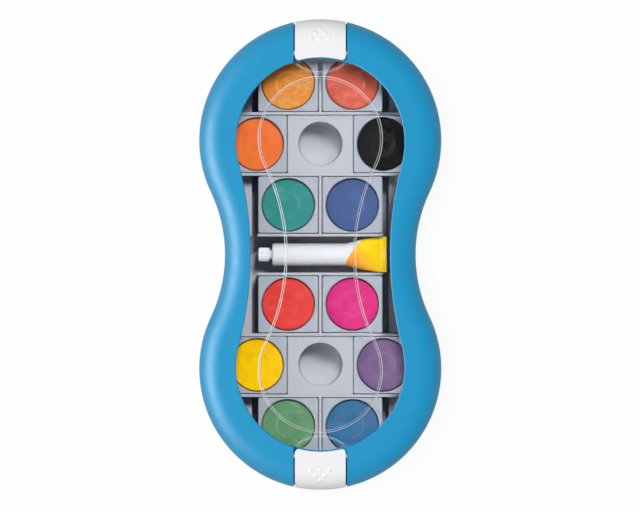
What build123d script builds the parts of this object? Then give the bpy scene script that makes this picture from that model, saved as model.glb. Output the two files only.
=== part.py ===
from build123d import *

import os
from math import hypot, isclose, sqrt

# A flat paint box with a figure-eight outline: a rounded base, a grey tray with twelve lift-out
# paint pans and a tube of white, and a lift-off lid made of a ring and a clear window, held by
# one swing-up clip at each end. Millimetres, +Y along the box, +Z up, origin under its middle.

# Paint pans and the paint pressed into them.
pan_length = 34.5
pan_depth = 32.6
pan_height = 9.6
pan_wall = 1.2
pan_corner_radius = 1.2
pan_edge_chamfer = 0.3
pan_clearance = 0.4
tablet_diameter = 30.0
tablet_thickness = 4.6
tablet_gap = 0.5
tablet_edge_radius = 0.6
tablet_dish_diameter = 14.0
tablet_dish_depth = 0.6

# Tray.
tray_wall = 1.4
rib_width = 1.5
rib_height = 0.8
channel_width = 20.9
channel_length = 86.0
channel_depth = 12.6
middle_deck_width = 37.0
finger_slot_width = 3.5
side_shelf_depth = 6.0
well_mouth_diameter = 25.2
well_foot_diameter = 22.8
well_collar_depth = 6.0
well_depth = 10.6
well_lip_radius = 0.5
tray_side_gap = 3.6
tray_corner_gap = 0.6

# Case outline: two bulbs joined by a waist.
bulb_centre_beyond_second_row = 1.75
case_margin_at_pans = 7.8
frame_width_side = 21.5
frame_width_end = 22.9
frame_width_waist = 15.05

# Case heights, walls and roundings.
foot_height = 1.2
foot_width = 2.5
foot_inset = 14.0
base_floor = 2.0
base_wall = 2.0
base_edge_radius = 9.0
rim_above_ribs = 2.0
lid_height = 16.0
lid_wall = 2.0
lid_shoulder_radius = 12.5
opening_edge_radius = 0.6
lip_depth = 3.0
lip_thickness = 1.5
lip_clearance = 0.3
lip_collar_height = 2.5
lip_root_overlap = 0.1
lip_end_gap = 0.6

# Clear window.
window_thickness = 1.8
window_flange = 2.2
window_end_gap = 1.2
window_edge_fit = 0.1
panel_margin_side = 12.3
panel_margin_end = 10.3
panel_margin_waist = 19.35
panel_rise = 1.0
panel_edge_chamfer = 0.6
panel_step_width = 1.2
end_arc_radius = 21.4
end_arc_reach = 8.8
end_arc_width = 1.0
end_arc_height = 0.4

# Clips and the wells they swing in.
clip_width = 28.8
clip_side_gap = 0.8
clip_wall = 1.8
clip_flange_depth = 2.6
clip_flange_width = 1.8
clip_edge_gap = 0.2
clip_corner_radius = 2.2
clip_skirt_below_parting = 7.7
clip_skirt_gap = 0.3
clip_pivot_inset = 20.2
clip_pivot_depth = 2.6
clip_pin_diameter = 2.4
clip_pin_length = 2.4
clip_pin_clearance = 0.05
clip_boss_diameter = 4.8
clip_well_depth = 7.8
clip_well_floor = 1.6
skirt_space = 3.0
housing_wall = 2.0
catch_length = 16.0
catch_height = 1.5
catch_clearance = 0.3
clip_bead_depth = 0.55
clip_bead_above_skirt = 1.3
catch_below_parting = 2.0
dot_diameter = 2.6
dot_height = 0.5
dot_pitch = 5.2
dot_row_insets = {3: 12.4, 2: 9.0, 1: 6.2}

# Tube of white.
tube_diameter = 13.0
tube_skin = 0.4
tube_shoulder_x = -28.0
tube_shoulder_chamfer = 1.0
tube_straight_length = 42.0
tube_flare_length = 20.4
tube_fold_length = 4.0
tube_fold_thickness = 1.2
tube_fold_width = 20.4
tube_paint_play = 0.05
tube_paint_length = 38.0
tube_seat_gap = 0.3
neck_diameter = 5.6
neck_length = 6.0
nozzle_diameter = 3.0
cap_diameter = 8.0
cap_length = 6.5
cap_stand_off = 1.2
cap_top = 1.2
cap_bore_clearance = 0.08
cap_groove_count = 18
cap_groove_diameter = 0.7

# Rows of pans, counted outwards from the tube. Rows one and three hold a pair of pans side by
# side, and the second row holds one at each side of a deck with a round well.
pocket_length = pan_length + 2 * pan_clearance
pocket_depth = pan_depth + 2 * pan_clearance
row_pitch = pocket_depth + rib_width
first_row_y = channel_width / 2 + rib_width + pocket_depth / 2
row_y = [first_row_y + row_pitch * row for row in range(3)]
rib_y = [y - row_pitch / 2 for y in row_y]
paired_pan_x = (rib_width + pocket_length) / 2
side_pan_x = (middle_deck_width + pocket_length) / 2
paired_edge_x = paired_pan_x + pocket_length / 2
slot_edge_x = paired_edge_x + finger_slot_width

# Outline radii, centres and waist half-widths.
bulb_centre = row_y[1] + bulb_centre_beyond_second_row
pocket_corner_reach = hypot(paired_edge_x, row_y[2] + pocket_depth / 2 - bulb_centre)
bulb_radius = pocket_corner_reach + case_margin_at_pans
waist = slot_edge_x + frame_width_waist
case_end_y = bulb_centre + bulb_radius
opening_radius = bulb_radius - frame_width_side
opening_centre = case_end_y - frame_width_end - opening_radius
opening_waist = slot_edge_x
opening_end_y = opening_centre + opening_radius
panel_radius = opening_radius - panel_margin_side
panel_centre = opening_end_y - panel_margin_end - panel_radius
panel_waist = opening_waist - panel_margin_waist
far_side = 2 * case_end_y

# Heights above the table.
base_floor_z = foot_height + base_floor
channel_floor_z = base_floor_z + tray_wall
deck_z = channel_floor_z + channel_depth
pan_seat_z = deck_z - pan_height
shelf_z = deck_z - side_shelf_depth
parting_z = deck_z + rib_height + rim_above_ribs
lid_top_z = parting_z + lid_height
window_top_z = lid_top_z - lid_wall
window_z = window_top_z - window_thickness
clip_well_z = lid_top_z - clip_well_depth
bridge_z = clip_well_z - clip_well_floor
skirt_z = parting_z - clip_skirt_below_parting
skirt_ledge_z = skirt_z - clip_skirt_gap
tube_z = channel_floor_z + tube_seat_gap + tube_diameter / 2

# Fits between the case, the tray and the clips.
tray_inset = base_wall + tray_side_gap
tray_corner_cut = base_edge_radius + tray_corner_gap - tray_inset
well_radius = tablet_diameter / 2 + tablet_gap
clip_space = clip_width + 2 * clip_side_gap
housing_width = clip_space + 2 * housing_wall
housing_inset = skirt_space + housing_wall
clip_pivot_y = case_end_y - clip_pivot_inset
clip_pivot_z = lid_top_z - clip_pivot_depth
neck_end_x = tube_shoulder_x - neck_length
flare_x = tube_shoulder_x + tube_straight_length
fold_x = flare_x + tube_flare_length


def figure_eight(radius, centre, half_waist):
    """Two bulbs of one radius at +-centre, joined by a waist arc tangent to both."""
    waist_arc = (half_waist**2 + centre**2 - radius**2) / (2 * (radius - half_waist))
    spread = radius + waist_arc
    join_x = radius * (half_waist + waist_arc) / spread
    join_y = centre - radius * centre / spread
    with BuildSketch() as outline:
        with BuildLine():
            ThreePointArc((join_x, join_y), (0, centre + radius), (-join_x, join_y))
            ThreePointArc((-join_x, join_y), (-half_waist, 0), (-join_x, -join_y))
            ThreePointArc((-join_x, -join_y), (0, -centre - radius), (join_x, -join_y))
            ThreePointArc((join_x, -join_y), (half_waist, 0), (join_x, join_y))
        make_face()
    return outline.sketch


def case_outline(inset):
    """The case's outline, moved inwards by inset."""
    return figure_eight(bulb_radius - inset, bulb_centre, waist - inset)


def opening_outline(inset):
    """The outline of the lid's opening, moved inwards by inset."""
    return figure_eight(opening_radius - inset, opening_centre, opening_waist - inset)


def panel_outline(inset):
    """The outline of the window's raised panel, moved inwards by inset."""
    return figure_eight(panel_radius - inset, panel_centre, panel_waist - inset)


def round_topped_case(bottom_z, skin):
    """The closed case's outer form above bottom_z, a skin's thickness inside it."""
    with BuildPart() as form:
        with BuildSketch(Plane.XY.offset(bottom_z)):
            add(case_outline(skin))
        extrude(amount=lid_top_z - skin - bottom_z)
        fillet(form.faces().sort_by(Axis.Z)[-1].edges(), radius=lid_shoulder_radius - skin)
    return form.part


def base_hollow():
    """The room inside the base, rounded along its floor."""
    with BuildPart() as hollow:
        with BuildSketch(Plane.XY.offset(base_floor_z)):
            add(case_outline(base_wall))
        extrude(amount=parting_z - base_floor_z)
        fillet(hollow.faces().sort_by(Axis.Z)[0].edges(), radius=base_edge_radius - base_wall)
    return hollow.part


def make_base_shell():
    """The lower half of the case, with a foot rim and a recess for each clip's skirt."""
    hollow = base_hollow()
    with BuildPart() as base_shell:
        with BuildSketch(Plane.XY.offset(foot_height)):
            add(case_outline(0))
        extrude(amount=parting_z - foot_height)
        fillet(base_shell.faces().sort_by(Axis.Z)[0].edges(), radius=base_edge_radius)
        add(hollow, mode=Mode.SUBTRACT)
        with BuildSketch(Plane.XY):
            add(case_outline(foot_inset))
            add(case_outline(foot_inset + foot_width), mode=Mode.SUBTRACT)
        extrude(amount=foot_height)
        # Behind each clip the wall steps inwards and stands on a ledge.
        with BuildSketch(Plane.XY.offset(skirt_ledge_z - housing_wall)):
            add(case_outline(0))
            add(case_outline(housing_inset), mode=Mode.SUBTRACT)
            Rectangle(housing_width, far_side, mode=Mode.INTERSECT)
        extrude(amount=parting_z - skirt_ledge_z + housing_wall)
        with BuildSketch(Plane.XY.offset(skirt_ledge_z)):
            Rectangle(clip_space, far_side)
            add(case_outline(skirt_space), mode=Mode.SUBTRACT)
        extrude(amount=parting_z - skirt_ledge_z, mode=Mode.SUBTRACT)
        with BuildSketch(Plane.XY.offset(parting_z - catch_below_parting - catch_height)):
            add(case_outline(clip_wall + clip_bead_depth + catch_clearance))
            add(case_outline(housing_inset), mode=Mode.SUBTRACT)
            Rectangle(catch_length, far_side, mode=Mode.INTERSECT)
        extrude(amount=catch_height)
    return base_shell


def tray_recesses():
    """Each straight-sided recess of the tray as (x, y, length, depth, floor height, inset).

    The inset is how far inside the case's outline the recess has to stay, with its wall.
    """
    deep_inset = tray_inset + tray_corner_cut + tray_wall
    shelf_inset = tray_inset + tray_wall
    shelf_length = waist - slot_edge_x + frame_width_side
    recesses = [(0, 0, channel_length, channel_width, channel_floor_z, deep_inset)]
    for end in (-1, 1):
        for row, y in enumerate(row_y):
            pan_x = side_pan_x if row == 1 else paired_pan_x
            # The first rows' side pockets run into the tube's channel.
            inner_y = channel_width / 2 if row == 0 else y - pocket_depth / 2
            outer_y = y + pocket_depth / 2
            side_y = end * (inner_y + outer_y) / 2
            side_depth = outer_y - inner_y
            for side in (-1, 1):
                pan_place = (side * pan_x, end * y)
                recesses.append((*pan_place, pocket_length, pocket_depth, pan_seat_z, shelf_inset))
                if row != 1:
                    slot_place = (side * (paired_edge_x + finger_slot_width / 2), side_y)
                    slot_size = (finger_slot_width, side_depth)
                    recesses.append((*slot_place, *slot_size, channel_floor_z, deep_inset))
                    shelf_place = (side * (slot_edge_x + shelf_length / 2), side_y)
                    shelf_size = (shelf_length, side_depth)
                    recesses.append((*shelf_place, *shelf_size, shelf_z, shelf_inset))
    return recesses


def well_cup(y, wall):
    """The room of one round well, a steep collar over a shallow bowl, grown by a wall."""
    mouth = well_mouth_diameter / 2 + wall
    foot = well_foot_diameter / 2 + wall
    bottom = -well_depth - wall
    with BuildPart() as cup:
        with BuildSketch(Plane((0, y, deck_z), x_dir=(1, 0, 0), z_dir=(0, -1, 0))):
            with BuildLine():
                TangentArc((0, bottom), (foot, -well_collar_depth), tangent=(1, 0))
                Polyline((foot, -well_collar_depth), (mouth, 0), (0, 0), (0, bottom))
            make_face()
        revolve(axis=Axis((0, y, 0), (0, 0, 1)))
    return cup.part


def make_paint_tray():
    """The moulded insert: a deck with pockets, finger slots, shelves, wells and a channel."""
    with BuildPart() as paint_tray:
        with BuildSketch(Plane.XY.offset(deck_z - tray_wall)):
            add(case_outline(tray_inset))
        extrude(amount=tray_wall)
        with BuildSketch(Plane.XY.offset(base_floor_z + tray_corner_cut)):
            add(case_outline(tray_inset))
            add(case_outline(tray_inset + tray_wall), mode=Mode.SUBTRACT)
        extrude(amount=deck_z - base_floor_z - tray_corner_cut)
        # Each recess is first a solid grown by the wall, and then its room is cut out of it.
        for wall, step in ((tray_wall, Mode.ADD), (0, Mode.SUBTRACT)):
            for x, y, length, depth, floor_z, inset in tray_recesses():
                with BuildSketch(Plane.XY.offset(floor_z - wall)):
                    with Locations((x, y)):
                        Rectangle(length + 2 * wall, depth + 2 * wall)
                    add(case_outline(inset - wall), mode=Mode.INTERSECT)
                extrude(amount=deck_z - floor_z + wall, mode=step)
            for y in (-row_y[1], row_y[1]):
                add(well_cup(y, wall), mode=step)
        circles = paint_tray.edges().filter_by(GeomType.CIRCLE)
        well_mouths = circles.filter_by(lambda edge: isclose(2 * edge.radius, well_mouth_diameter))
        fillet(well_mouths, radius=well_lip_radius)
        with BuildSketch(Plane.XY.offset(deck_z)):
            for end in (-1, 1):
                with Locations((0, end * rib_y[0])):
                    Rectangle(2 * paired_edge_x, rib_width)
                with Locations((0, end * rib_y[1]), (0, end * rib_y[2])):
                    Rectangle(far_side, rib_width)
                with Locations((0, end * row_y[0]), (0, end * row_y[2])):
                    Rectangle(rib_width, row_pitch)
            add(case_outline(tray_inset), mode=Mode.INTERSECT)
        extrude(amount=rib_height)
    return paint_tray


def make_pan(x, y):
    """A moulded pan with a round well for one paint tablet, hollow under its corners."""
    seat = Plane((x, y, pan_seat_z))
    with BuildPart() as pan:
        with BuildSketch(seat):
            RectangleRounded(pan_length, pan_depth, pan_corner_radius)
        extrude(amount=pan_height)
        with BuildSketch(seat):
            Rectangle(pan_length - 2 * pan_wall, pan_depth - 2 * pan_wall)
            Circle(well_radius + pan_wall, mode=Mode.SUBTRACT)
        extrude(amount=pan_height - pan_wall, mode=Mode.SUBTRACT)
        with BuildSketch(seat.offset(pan_wall)):
            Circle(well_radius)
        extrude(amount=pan_height, mode=Mode.SUBTRACT)
        chamfer(pan.faces().sort_by(Axis.Z)[-1].edges(), length=pan_edge_chamfer)
    return pan


def make_tablet(x, y):
    """A round tablet of paint with a softened edge and a shallow dish in its middle."""
    seat = Plane((x, y, pan_seat_z + pan_wall))
    dish_radius = tablet_dish_diameter / 2
    dish_sphere = (dish_radius**2 + tablet_dish_depth**2) / (2 * tablet_dish_depth)
    with BuildPart() as tablet:
        with BuildSketch(seat):
            Circle(tablet_diameter / 2)
        extrude(amount=tablet_thickness)
        fillet(tablet.faces().sort_by(Axis.Z)[-1].edges(), radius=tablet_edge_radius)
        with Locations(seat.offset(tablet_thickness + dish_sphere - tablet_dish_depth)):
            Sphere(dish_sphere, mode=Mode.SUBTRACT)
    return tablet


def lid_hollow():
    """The room inside the lid's ring, less the solid blocks that house the clips."""
    hollow_form = round_topped_case(parting_z, lid_wall)
    with BuildPart() as hollow:
        add(hollow_form)
        with BuildSketch(Plane.XY.offset(parting_z)):
            Rectangle(housing_width, far_side)
            add(opening_outline(0), mode=Mode.SUBTRACT)
        extrude(amount=lid_height, mode=Mode.SUBTRACT)
    return hollow.part


def clip_skirt_room():
    """The room that the clips' skirts take out of the lid's ends, following its shoulder."""
    end_form = round_topped_case(parting_z, skirt_space)
    with BuildPart() as room:
        with BuildSketch(Plane.XY.offset(parting_z)):
            Rectangle(clip_space, far_side)
        extrude(amount=lid_height)
        add(end_form, mode=Mode.SUBTRACT)
    return room.part


def make_lid_frame():
    """The lid's ring: a round-shouldered shell with a well and pin holes for each clip."""
    outer_form = round_topped_case(parting_z, 0)
    hollow = lid_hollow()
    skirt_room = clip_skirt_room()
    with BuildPart() as lid_frame:
        add(outer_form)
        add(hollow, mode=Mode.SUBTRACT)
        with BuildSketch(Plane.XY.offset(parting_z)):
            add(opening_outline(0))
        extrude(amount=lid_height, mode=Mode.SUBTRACT)
        top_face = lid_frame.faces().sort_by(Axis.Z)[-1]
        fillet(top_face.inner_wires()[0].edges(), radius=opening_edge_radius)
        # Wells that the clips lie in, open at the outside for their skirts.
        with BuildSketch(Plane.XY.offset(clip_well_z)):
            Rectangle(clip_space, far_side)
        extrude(amount=clip_well_depth, mode=Mode.SUBTRACT)
        add(skirt_room, mode=Mode.SUBTRACT)
        with BuildSketch(Plane.XY.offset(parting_z)):
            Rectangle(housing_width, far_side)
            add(case_outline(housing_inset), mode=Mode.INTERSECT)
        extrude(amount=bridge_z - parting_z, mode=Mode.SUBTRACT)
        with BuildSketch(Plane.YZ.offset(-housing_width / 2)):
            with Locations((clip_pivot_y, clip_pivot_z), (-clip_pivot_y, clip_pivot_z)):
                Circle(clip_pin_diameter / 2 + clip_pin_clearance)
        extrude(amount=housing_width, mode=Mode.SUBTRACT)
        # A lip below the rim drops inside the base, and a collar joins it to the wall.
        lip_outer = base_wall + lip_clearance
        lip_levels = (
            (parting_z - lip_depth, lip_depth, lip_outer),
            (parting_z, lip_collar_height, lid_wall - lip_root_overlap),
        )
        for level_z, level_height, outer_inset in lip_levels:
            with BuildSketch(Plane.XY.offset(level_z)):
                add(case_outline(outer_inset))
                add(case_outline(lip_outer + lip_thickness), mode=Mode.SUBTRACT)
                Rectangle(housing_width + 2 * lip_end_gap, far_side, mode=Mode.SUBTRACT)
            extrude(amount=level_height)
    return lid_frame


def make_lid_window():
    """The clear window: a flange under the ring, a raised middle panel and two end arcs."""
    with BuildSketch() as housing_gap:
        Rectangle(housing_width + 2 * lip_end_gap, far_side)
        add(opening_outline(window_edge_fit), mode=Mode.SUBTRACT)
    with BuildSketch() as clip_gap:
        Rectangle(clip_space, far_side)
        add(opening_outline(window_end_gap), mode=Mode.SUBTRACT)
    with BuildPart() as lid_window:
        with BuildSketch(Plane.XY.offset(window_z)):
            add(opening_outline(-window_flange))
            add(housing_gap.sketch, mode=Mode.SUBTRACT)
            add(clip_gap.sketch, mode=Mode.SUBTRACT)
        extrude(amount=window_thickness)
        with BuildSketch(Plane.XY.offset(window_top_z)):
            add(panel_outline(0))
        extrude(amount=panel_rise)
        chamfer(lid_window.faces().sort_by(Axis.Z)[-1].edges(), length=panel_edge_chamfer)
        with BuildSketch(Plane.XY.offset(window_z)):
            add(panel_outline(panel_step_width))
        extrude(amount=panel_rise, mode=Mode.SUBTRACT)
        arc_y = opening_end_y - end_arc_reach + end_arc_radius
        with BuildSketch(Plane.XY.offset(window_top_z)):
            with Locations((0, arc_y), (0, -arc_y)):
                Circle(end_arc_radius)
                Circle(end_arc_radius - end_arc_width, mode=Mode.SUBTRACT)
            add(opening_outline(window_end_gap), mode=Mode.INTERSECT)
            add(panel_outline(0), mode=Mode.SUBTRACT)
        extrude(amount=end_arc_height)
    return lid_window


def dot_places(end):
    """Centres of the spheres whose caps stand out of a clip as six raised dots."""
    sphere_radius = dot_sphere_radius()
    sink = sphere_radius - dot_height
    places = []
    for count, inset in dot_row_insets.items():
        from_shoulder = max(lid_shoulder_radius - inset, 0)
        rise = sqrt(lid_shoulder_radius**2 - from_shoulder**2)
        share = (lid_shoulder_radius - sink) / lid_shoulder_radius
        y = case_end_y - max(inset, lid_shoulder_radius) + from_shoulder * share
        z = lid_top_z - lid_shoulder_radius + rise * share
        for place in range(count):
            places.append(((place - (count - 1) / 2) * dot_pitch, end * y, z))
    return places


def dot_sphere_radius():
    """Radius of the sphere that shows a cap of the dots' diameter and height."""
    return ((dot_diameter / 2) ** 2 + dot_height**2) / (2 * dot_height)


def clip_hollow():
    """The room under a clip's plate, between its two side flanges."""
    inner_form = round_topped_case(skirt_z, clip_wall)
    with BuildPart() as hollow:
        add(inner_form)
        with BuildSketch(Plane.XY.offset(skirt_z)):
            Rectangle(clip_width - 2 * clip_flange_width, far_side)
        extrude(amount=lid_top_z - skirt_z, mode=Mode.INTERSECT)
    return hollow.part


def make_clip(end):
    """A clip that follows the case's skin over the lid's end, on pins in its side flanges."""
    outer_form = round_topped_case(skirt_z, 0)
    flange_hollow = round_topped_case(skirt_z, clip_flange_depth)
    hollow = clip_hollow()
    with BuildPart() as clip:
        add(outer_form)
        with Locations(*dot_places(end)):
            Sphere(dot_sphere_radius())
        with BuildSketch(Plane.XY.offset(skirt_z)) as plan:
            with Locations((0, end * case_end_y)):
                Rectangle(clip_width, far_side)
            add(opening_outline(-clip_edge_gap), mode=Mode.SUBTRACT)
            inner_side = plan.faces().sort_by(Axis.Y)[-1 if end > 0 else 0]
            corners = inner_side.vertices().sort_by(Axis.Y)
            fillet(corners[:2] if end > 0 else corners[-2:], radius=clip_corner_radius)
        extrude(amount=far_side, mode=Mode.INTERSECT)
        add(flange_hollow, mode=Mode.SUBTRACT)
        add(hollow, mode=Mode.SUBTRACT)
        with BuildSketch(Plane.XY.offset(skirt_z + clip_bead_above_skirt)):
            add(case_outline(clip_wall / 2))
            add(case_outline(clip_wall + clip_bead_depth), mode=Mode.SUBTRACT)
            with Locations((0, end * case_end_y)):
                Rectangle(catch_length, case_end_y, mode=Mode.INTERSECT)
        extrude(amount=catch_height)
        for side in (-1, 1):
            flange_x = side * (clip_width / 2 - clip_flange_width)
            with BuildSketch(Plane.YZ.offset(flange_x)):
                with Locations((end * clip_pivot_y, clip_pivot_z)):
                    Circle(clip_boss_diameter / 2)
            extrude(amount=side * clip_flange_width)
            with BuildSketch(Plane.YZ.offset(side * clip_width / 2)):
                with Locations((end * clip_pivot_y, clip_pivot_z)):
                    Circle(clip_pin_diameter / 2)
            extrude(amount=side * clip_pin_length)
    return clip


def tube_section(x):
    """A plane across the tube at x, centred on the tube's axis."""
    return Plane((x, 0, tube_z), x_dir=(0, 1, 0), z_dir=(1, 0, 0))


def make_tube_body():
    """The soft metal tube: nozzle, shoulder, round body and a tail pressed flat and folded."""
    with BuildPart() as tube_body:
        with BuildSketch(tube_section(tube_shoulder_x)):
            Circle(tube_diameter / 2)
        extrude(amount=tube_straight_length)
        chamfer(tube_body.faces().sort_by(Axis.X)[0].edges(), length=tube_shoulder_chamfer)
        with BuildSketch(tube_section(flare_x)):
            Circle(tube_diameter / 2)
        with BuildSketch(tube_section(fold_x)):
            Ellipse(tube_fold_width / 2, tube_fold_thickness / 2)
        loft()
        with BuildSketch(tube_section(fold_x)):
            Rectangle(tube_fold_width, tube_fold_thickness)
        extrude(amount=tube_fold_length)
        with BuildSketch(tube_section(neck_end_x)):
            Circle(neck_diameter / 2)
        extrude(amount=neck_length)
        with BuildSketch(tube_section(tube_shoulder_x + tube_shoulder_chamfer)):
            Circle(tube_diameter / 2 - tube_skin)
        extrude(amount=tube_paint_length, mode=Mode.SUBTRACT)
        with BuildSketch(tube_section(neck_end_x)):
            Circle(nozzle_diameter / 2)
        extrude(amount=neck_length + tube_shoulder_chamfer, mode=Mode.SUBTRACT)
    return tube_body


def make_tube_paint():
    """The white paint that fills the round part of the tube."""
    with BuildPart() as tube_paint:
        with BuildSketch(tube_section(tube_shoulder_x + tube_shoulder_chamfer)):
            Circle(tube_diameter / 2 - tube_skin - tube_paint_play)
        extrude(amount=tube_paint_length)
    return tube_paint


def make_tube_cap():
    """The grooved screw cap on the tube's nozzle."""
    cap_x = tube_shoulder_x - cap_stand_off - cap_length
    with BuildPart() as tube_cap:
        with BuildSketch(tube_section(cap_x)):
            Circle(cap_diameter / 2)
            with PolarLocations(cap_diameter / 2, cap_groove_count):
                Circle(cap_groove_diameter / 2, mode=Mode.SUBTRACT)
        extrude(amount=cap_length)
        with BuildSketch(tube_section(cap_x + cap_top)):
            Circle(neck_diameter / 2 + cap_bore_clearance)
        extrude(amount=cap_length - cap_top, mode=Mode.SUBTRACT)
    return tube_cap


def save(piece, node):
    """Labels a finished piece and writes it as its own STEP file."""
    piece.part.label = node
    export_step(piece.part, f"parts/{node}.step")


# Colours of the pans by row, from the +Y end to the -Y end, left pan then right pan.
colour_rows = (
    (row_y[2], paired_pan_x, "ochre", "vermilion"),
    (row_y[1], side_pan_x, "orange", "black"),
    (row_y[0], paired_pan_x, "teal", "ultramarine"),
    (-row_y[0], paired_pan_x, "red", "magenta"),
    (-row_y[1], side_pan_x, "yellow", "violet"),
    (-row_y[2], paired_pan_x, "green", "cyan"),
)

os.makedirs("parts", exist_ok=True)
save(make_base_shell(), "base_shell")
save(make_paint_tray(), "paint_tray")
for pan_y, pan_x, left_colour, right_colour in colour_rows:
    for colour, side_x in ((left_colour, -pan_x), (right_colour, pan_x)):
        save(make_pan(side_x, pan_y), f"pan_{colour}")
        save(make_tablet(side_x, pan_y), f"paint_{colour}")
save(make_tube_body(), "tube_body")
save(make_tube_paint(), "tube_paint")
save(make_tube_cap(), "tube_cap")
save(make_lid_frame(), "lid_frame")
save(make_lid_window(), "lid_window")
save(make_clip(1), "clip_north")
save(make_clip(-1), "clip_south")
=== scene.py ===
"""Gouache paint set box, closed and lying flat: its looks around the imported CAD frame.

Lengths are in metres. +Y runs along the box, +X to the right seen from above, and +Z is up.
The scale of a noise is in waves to a metre, and its band is the stretch of its range that counts.
"""

import logging
import math
from dataclasses import dataclass
from enum import Enum
from typing import Iterable, NamedTuple, Sequence

import bmesh
import bpy
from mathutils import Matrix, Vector


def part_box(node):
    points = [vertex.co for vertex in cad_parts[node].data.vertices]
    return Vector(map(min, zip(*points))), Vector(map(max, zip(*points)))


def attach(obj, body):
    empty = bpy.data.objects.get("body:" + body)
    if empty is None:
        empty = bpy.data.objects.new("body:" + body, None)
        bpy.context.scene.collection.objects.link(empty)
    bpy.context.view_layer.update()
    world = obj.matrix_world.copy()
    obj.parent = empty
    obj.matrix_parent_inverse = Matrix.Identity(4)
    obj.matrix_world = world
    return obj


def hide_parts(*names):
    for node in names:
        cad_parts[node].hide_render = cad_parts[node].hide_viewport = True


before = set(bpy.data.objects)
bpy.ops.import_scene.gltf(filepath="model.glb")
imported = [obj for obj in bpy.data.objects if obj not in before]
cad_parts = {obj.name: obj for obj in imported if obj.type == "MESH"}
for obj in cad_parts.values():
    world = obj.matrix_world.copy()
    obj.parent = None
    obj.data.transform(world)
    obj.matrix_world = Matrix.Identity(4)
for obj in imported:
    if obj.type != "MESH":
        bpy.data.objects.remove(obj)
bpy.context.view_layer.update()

LOG = logging.getLogger("paint_box")
MM = 0.001
TURN = 2 * math.pi

Point = tuple[float, float, float]
FlatPoint = tuple[float, float]
Ring = list[Point]
Rgba = tuple[float, float, float, float]
Band = tuple[float, float]
Corners = list[bmesh.types.BMVert]

WHITE: Rgba = (1.0, 1.0, 1.0, 1.0)
MERGE_DISTANCE = 1e-7


class Srgb(NamedTuple):
    """A colour as it looks on a screen, each part from 0 to 255."""

    red: int
    green: int
    blue: int

    def linear(self, share: float = 1.0) -> Rgba:
        """The colour for a shader's socket.

        Args:
            share: What the colour is multiplied by.

        Returns:
            Red, green, blue and alpha in linear light.
        """
        parts = []
        for part in self:
            value = part / 255
            low = value / 12.92
            high = ((value + 0.055) / 1.055) ** 2.4
            parts.append(min(1.0, share * (low if value <= 0.04045 else high)))
        return (parts[0], parts[1], parts[2], 1.0)


class PaintTone(NamedTuple):
    """How one pressed paint looks: its face, its unevenly pressed patches and its roughness."""

    face: Srgb
    patch: Srgb
    roughness: float = 0.5


class Paint(Enum):
    """The twelve pressed paints. Black is pressed smoother than the others."""

    OCHRE = PaintTone(Srgb(218, 135, 54), Srgb(232, 164, 92))
    VERMILION = PaintTone(Srgb(207, 91, 71), Srgb(218, 116, 98))
    ORANGE = PaintTone(Srgb(236, 118, 56), Srgb(236, 100, 54))
    BLACK = PaintTone(Srgb(18, 18, 20), Srgb(34, 34, 36), 0.24)
    TEAL = PaintTone(Srgb(51, 136, 130), Srgb(78, 152, 146))
    ULTRAMARINE = PaintTone(Srgb(68, 89, 135), Srgb(62, 102, 158))
    RED = PaintTone(Srgb(221, 63, 57), Srgb(226, 82, 72))
    MAGENTA = PaintTone(Srgb(206, 42, 119), Srgb(214, 58, 132))
    YELLOW = PaintTone(Srgb(255, 203, 0), Srgb(250, 184, 12))
    VIOLET = PaintTone(Srgb(116, 91, 131), Srgb(124, 100, 136))
    GREEN = PaintTone(Srgb(98, 148, 107), Srgb(122, 166, 130))
    CYAN = PaintTone(Srgb(50, 110, 150), Srgb(88, 96, 142))

    @property
    def word(self) -> str:
        """The paint's name as the CAD nodes and bodies spell it."""
        return self.name.lower()


class BoxEnd(Enum):
    """An end of the box, by its side along Y."""

    NORTH = 1
    SOUTH = -1

    @property
    def clip(self) -> str:
        """The CAD node of the clip that closes this end."""
        return f"clip_{self.name.lower()}"


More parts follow.
